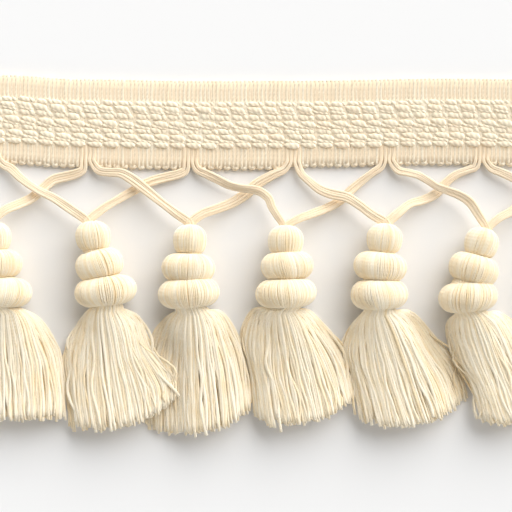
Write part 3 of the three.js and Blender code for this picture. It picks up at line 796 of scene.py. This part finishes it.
# how far the loose threads stand out past the sides above, from the last tie to the end
SWELL = np.array([0.0, 0.4, 0.9, 1.1, 0.8])
# thickness of the skirt at the tie and at the end, and how far its end stands off the table
SKIRT_ROOT, SKIRT_END = 9.4, 6.0
LIFT, LIFT_FROM = 2.2, 0.4
# how flat the skirt is over its middle, and how round at its sides
CROWN_FLAT, CROWN_ROUND = 3, 0.6
# how far down the skirt the grip of the tie still shows
GRIP = 0.3
print("skirts:", len(SKIRTS), "that lie on or under a neighbour:", len(LIES))

# %% Places down the skirt
def side_at(neck, sign, places, t):
    stops = np.array([(sign * NECKS[LAST_TIE][0], 0.0), *places])
    stops[:, 0] += sign * SWELL
    ends = with_ends(stops)
    spans = len(places)
    part = np.clip((t * spans).astype(int), 0, spans - 1)
    s = (t * spans - part)[..., None]
    return bend_between(ends[part], ends[part + 1], ends[part + 2], ends[part + 3], s) + np.array(neck)


def skirt_room(tassel, across, t):
    height = SKIRT_ROOT + (SKIRT_END - SKIRT_ROOT) * ease(t)
    base = LIFT * ease(t, LIFT_FROM, 1.0)
    for owner, sides, falls, lie_base, lie_high in LIES:
        if owner == tassel:
            lie = ease(across, *sides) * ease(t, *falls)
            base = base + (lie_base - base) * lie
            height = height + (np.minimum(lie_high, height) - height) * lie
    return base, height


def down_skirt(tassel, a, layer, t):
    left, right, fall = SKIRTS[tassel]
    neck = HEADS[tassel][LAST_TIE]
    across = 0.5 + 0.5 * a
    start, end = side_at(neck, -1, left, t), side_at(neck, 1, right, t)
    plan = start + (end - start) * across[..., None]
    half_way = (start + end) / 2 - neck
    straight = np.stack([(left[-1][0] + right[-1][0]) / 2 * t, fall * t], axis=-1)
    plan += (4 * across * (1 - across))[..., None] * (straight - half_way)
    base, height = skirt_room(tassel, across, t)
    crown = np.maximum(1 - np.abs(a) ** CROWN_FLAT, 0.0) ** CROWN_ROUND
    lying = base + THREAD_HALF + layer * np.maximum(height * crown - 2 * THREAD_HALF, 0.0)
    tie_high, tie_z = NECKS[LAST_TIE][1:]
    tied = tie_z + tie_high * (2 * layer - 1) * np.sqrt(np.maximum(1 - a ** 2, 0.0))
    z = tied + (lying - tied) * ease(t, 0.0, GRIP)
    return np.concatenate([plan, np.maximum(z, THREAD_HALF)[..., None]], axis=-1)


print("middle of the first skirt's end, mm:", down_skirt(0, np.zeros(1), np.ones(1), np.ones(1)).round(1))

# %% Locks and waves
# the outermost locks, how far a lock leans, and how far a thread may stray to the next lock
LOCK_SPAN, LOCK_LEAN, LOCK_STRAY = 0.97, 0.035, 0.05
# where down the skirt threads begin to gather in locks and are gathered, and how much of the way they go
GATHERS, GATHERED = (0.15, 0.95), (0.4, 1.0)
# chance in the length of a lock and of a thread
UNEVEN_LOCK, UNEVEN_CUT = 0.012, 0.012
# how far a thread waves from its line, and where down the skirt the wave grows; some at the edges curl
WAVE, CURL = 0.2, 1.0
WAVE_GROWS, WAVE_TURNS = (0.1, 0.6), (1.0, 2.6)
# shape and scale of the chance in a wave's size, which is mostly small, and its share upwards
WAVE_CHANCE, WAVE_UP = (2.0, 0.5), 0.6
EDGE_OF_SKIRT, CURLED_AT_EDGE = 0.92, 0.3
# the share of threads that stand out from the others, and by how much
FLYAWAY, FLYAWAY_SIZE = 0.015, 2.2


def fall_in_locks(a, t, locks, draw):
    centre = np.sort(chance.uniform(-LOCK_SPAN, LOCK_SPAN, locks))
    lean = chance.normal(0, LOCK_LEAN, locks)
    strayed = a[:, None] + chance.normal(0, LOCK_STRAY, a.shape)[:, None]
    nearest = np.argmin(np.abs(strayed - centre), axis=1)
    drawn = ease(t, *GATHERS) * draw * chance.uniform(*GATHERED, a.shape)[:, None]
    moved = a[:, None] + (centre[nearest] - a)[:, None] * drawn + lean[nearest][:, None] * t ** 2
    return np.clip(moved, -1.0, 1.0), chance.normal(0, UNEVEN_LOCK, locks)[nearest]


def wavy(lines, t, spread):
    count = len(lines)
    phase = chance.uniform(0, 2 * np.pi, (2, count, 1))
    turns = chance.uniform(*WAVE_TURNS, (2, count, 1))
    size = spread * chance.gamma(*WAVE_CHANCE, (count, 1)) * ease(t, *WAVE_GROWS)
    size = size * np.where(chance.uniform(0, 1, (count, 1)) < FLYAWAY, FLYAWAY_SIZE, 1.0)
    lines[..., 0] += size * np.sin(phase[0] + turns[0] * 2 * np.pi * t)
    lines[..., 2] += WAVE_UP * size * np.abs(np.sin(phase[1] + turns[1] * 2 * np.pi * t))
    return lines


# %% Threads of a skirt
SKIRT_STEPS = 20
# the share of the skirt's length that a top thread reaches, and what the lowest ones lack
REACH, LACK = 0.98, 0.06
# how far down the skirt threads still lie as they left the tie
SPREADS_BY = 0.5


def skirt_threads(tassel, tied, a, layer, locks, draw, first):
    t = np.linspace(first, 1.0, SKIRT_STEPS)[None] * np.ones((len(a), 1))
    spread, extra = fall_in_locks(a, t, locks, draw)
    spread = spread + (tied - a)[:, None] * (1 - ease(t, 0.0, SPREADS_BY))
    t = t * (REACH - LACK * (1 - layer) + extra + chance.normal(0, UNEVEN_CUT, len(a)))[:, None]
    loose = (np.abs(a) > EDGE_OF_SKIRT) & (chance.uniform(0, 1, len(a)) < CURLED_AT_EDGE)
    size = np.where(loose, CURL, WAVE)[:, None]
    return wavy(down_skirt(tassel, spread, layer[:, None] * np.ones_like(t), t), t, size)


# %% Cores
# corners round the head's core, how far it lies below the threads, its tone of painted shade and the ridges
# round it
HEAD_CORNERS, HEAD_SINK, HEAD_CORE_SHADE, HEAD_RIDGES = 24, 0.32, 0.1, 90
# points across and down the skirt's core, and the part of the skirt that it fills
CORE_ACROSS, CORE_DOWN = 16, 14
CORE_SPAN, CORE_FROM, CORE_TO = 0.9, 0.02, 0.92
# its upper layer, a lower one for the third skirt, its lower layer, and how much it thins and from where
CORE_TOP, LOW_CORE_TOP = 0.88, {2: 0.78}
CORE_BOTTOM, CORE_THINS, CORE_THINS_FROM = 0.1, 0.7, 0.6
# the skirt core's tone, the deepest: painted shade in the gaps between the threads, and the ridges round it
SKIRT_CORE_SHADE, SKIRT_RIDGES = 0.0, 110


def head_core(sections):
    angle = np.pi - np.arange(HEAD_CORNERS) * 2 * np.pi / HEAD_CORNERS
    rings = over_head(sections, angle[:, None], HEAD_SINK)
    return skin(rings.transpose(1, 0, 2)[None], np.zeros((1, len(sections))), [HEAD_CORE_SHADE], HEAD_RIDGES)


def skirt_core(tassel):
    a = np.linspace(-CORE_SPAN, CORE_SPAN, CORE_ACROSS)
    around_it = np.concatenate([a, a[::-1]])
    t = np.linspace(CORE_FROM, CORE_TO, CORE_DOWN)[:, None] * np.ones(len(around_it))
    top = LOW_CORE_TOP.get(tassel, CORE_TOP) * (1 - CORE_THINS * ease(t, CORE_THINS_FROM, CORE_TO))
    layer = np.where(np.arange(len(around_it)) < CORE_ACROSS, top, CORE_BOTTOM)
    rings = down_skirt(tassel, around_it * np.ones_like(t), layer, t)
    return skin(rings[None], np.zeros((1, CORE_DOWN)), [SKIRT_CORE_SHADE], SKIRT_RIDGES)


print("faces of a core:", len(head_core(head_sections(0))[1]) + len(skirt_core(0)[1]))

# %% Outer threads, from the knot to the end
# threads on the upper and on the under side
ABOVE, BELOW = 50, 18
# chance in a thread's place round the head, in its drift from tier to tier, and in the slant of a tier
ROUND_CHANCE, DRIFT, SLANT = 0.01, 0.009, 0.12
DRIFT_KNOTS = 4
# how deep all threads lie, and how much deeper some sink on the ball and on the two tiers
BEDDED, SUNK, SUNK_POWER = 0.15, (0.1, 0.06, 0.05), 1.5
# every third thread has no room at the surface of the small ball
NO_ROOM, SUNK_ON_BALL = 3, 0.3
# every fourth one lies deeper in the skirt, and the top ones lie in its highest layers
DEEPER, DEEPER_BY, TOP_LAYERS = 4, 0.25, (0.93, 1.0)
# locks of a skirt, how far threads are drawn into them, and where below the tie the skirt starts
OUTER_LOCKS, OUTER_DRAW, OUTER_FROM = 34, 0.3, 0.05
# how narrow the pull of the ties makes a thread on the head
DRAWN_THIN = 0.6
# the thread over the head takes a deeper tone than in the skirt: painted shade against the key on the heads'
# tops
HEAD_SHADED_TONE, SKIRT_TONE, OUTER_TONE_SPREAD = 0.6, 0.85, 0.2
OUTER_SIDES, THREAD_LAY = 6, 1.0


def outer_threads(tassel, sections):
    tiers = len(TIERS)
    over = np.pi * (np.arange(ABOVE) + 0.5) / ABOVE
    under = np.pi * (1 + (np.arange(BELOW) + 0.5) / BELOW)
    count = ABOVE + BELOW
    order = np.arange(count)
    angle = np.concatenate([over, under]) + chance.normal(0, ROUND_CHANCE, count)
    drift = chance.normal(0, DRIFT, (count, DRIFT_KNOTS))
    steps = np.linspace(0, DRIFT_KNOTS - 1, len(sections))
    swirl = np.stack([np.interp(steps, range(DRIFT_KNOTS), row) for row in drift])
    slant = np.repeat(chance.normal(0, SLANT, tiers), TIER_RINGS)
    slant = slant * np.tile(np.linspace(-1, 1, TIER_RINGS), tiers)
    sunk = chance.uniform(0, 1, (count, tiers)) ** SUNK_POWER * np.array(SUNK)
    sink = BEDDED + np.repeat(sunk, TIER_RINGS, axis=1)
    sink[:, :TIER_RINGS] += np.where(order % NO_ROOM == 1, SUNK_ON_BALL, 0.0)[:, None]
    head = over_head(sections, angle[:, None] + swirl + slant, sink)
    layer = chance.uniform(*TOP_LAYERS, count) - np.where(order % DEEPER == 2, DEEPER_BY, 0.0)
    layer = np.where(np.sin(angle) > 0, layer, 0.0)
    even = np.where(np.sin(angle) > 0, 1 - 2 * angle / np.pi, 2 * angle / np.pi - 3)
    skirt = skirt_threads(tassel, np.cos(angle), even, layer, OUTER_LOCKS, OUTER_DRAW, OUTER_FROM)
    tone = np.concatenate([np.full(len(sections), HEAD_SHADED_TONE), np.full(SKIRT_STEPS, SKIRT_TONE)])
    tone = uneven_tone(tone, OUTER_TONE_SPREAD, (count, 1), 0.0)
    drawn = np.concatenate([np.full(len(sections), DRAWN_THIN), np.ones(SKIRT_STEPS)])
    lines = np.concatenate([head, skirt], axis=1)
    return spin(lines, THREAD_HALF * drawn, THREAD_HALF, OUTER_SIDES, THREAD_LAY, tone)


# %% Inner threads, from the last tie
INNER = 290
# how far to the sides they reach, and how thick they are against the outer ones
INNER_SPAN, INNER_HALF = 0.98, 0.85
# the top layer, how far down the layers go, and how much denser they are at the top
INNER_TOP, INNER_DEPTH, INNER_POWER = 0.97, 0.75, 1.8
INNER_LOCKS, INNER_DRAW = 40, 0.35
# threads deep in the skirt take a darker tone than those near the top: painted shade among the threads
DEEP_SHADED_TONE, TOP_ADDS, INNER_TONE_SPREAD = 0.2, 0.4, 0.14
INNER_SIDES = 4


def inner_threads(tassel):
    a = INNER_SPAN * (2 * chance.permutation(INNER) + 1 - INNER) / INNER
    layer = INNER_TOP - INNER_DEPTH * (np.arange(INNER) / INNER) ** INNER_POWER
    fill = skirt_threads(tassel, a, a, layer, INNER_LOCKS, INNER_DRAW, 0.0)
    tone = uneven_tone(DEEP_SHADED_TONE + TOP_ADDS * layer, INNER_TONE_SPREAD, INNER, 0.0)
    half = INNER_HALF * THREAD_HALF
    return spin(fill, half, half, INNER_SIDES, THREAD_LAY, tone)


print("threads in a tassel:", ABOVE + BELOW, "outer and", INNER, "inner")

# %% Tie the seven tassels
for tassel in range(TASSELS):
    sections = head_sections(tassel)
    outer, inner = outer_threads(tassel, sections), inner_threads(tassel)
    hank_parts = [outer, inner, head_core(sections), skirt_core(tassel)]
    hank = lay_piece(f"tassel_{tassel + 1}_hank", hank_parts, THREAD)
    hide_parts(f"tassel_{tassel + 1}")

# %% [markdown]
# Table
# The fringe lies on plain white card. A small plane would show its edge in the low views, so the card is
# large enough to fill the view from above and from most sides. A faint tooth in its surface keeps its
# shade from looking like a flat fill.

# %% White card
CARD_HALF = 900.0
CARD_TILES = 12
per_row = CARD_TILES + 1
card_x = np.linspace(-CARD_HALF, CARD_HALF, per_row)
corners = [(px * MM, py * MM, 0.0) for py in card_x for px in card_x]
firsts = [r * per_row + c for r in range(CARD_TILES) for c in range(CARD_TILES)]
tiles = [(n, n + 1, n + per_row + 1, n + per_row) for n in firsts]
card_mesh = bpy.data.meshes.new("card")
card_mesh.from_pydata(corners, [], tiles)
card = bpy.data.objects.new("card", card_mesh)
bpy.context.scene.collection.objects.link(card)
print("card:", 2 * CARD_HALF, "mm square")

# %% Finish of the card
# Matt white card: nearly all light comes back, with a fine tooth and no gloss.
CARD_WHITE, CARD_ROUGH, CARD_SHINE = "#F4F4F4", 0.95, 0.1
# real tooth is too fine to show, so it is drawn coarser: size of its grain and its depth, in mm
TOOTH_GRAIN, TOOTH_DEEP, TOOTH_STRENGTH = 0.8, 0.02, 0.1

paper = bpy.data.materials.new("card, matt white")
paper.use_nodes = True
shader = paper.node_tree.nodes["Principled BSDF"]
shader.inputs["Base Color"].default_value = linear(CARD_WHITE)
shader.inputs["Roughness"].default_value = CARD_ROUGH
shader.inputs["Specular IOR Level"].default_value = CARD_SHINE
tooth = add(paper.node_tree, "ShaderNodeTexNoise", values={"Scale": 1 / (TOOTH_GRAIN * MM), "Detail": 2.0})
grain = add(paper.node_tree, "ShaderNodeBump", None,
            {"Strength": TOOTH_STRENGTH, "Distance": TOOTH_DEEP * MM}, {"Height": tooth.outputs["Fac"]})
paper.node_tree.links.new(grain.outputs[0], shader.inputs["Normal"])
card_mesh.materials.append(paper)
print("finish:", paper.name)
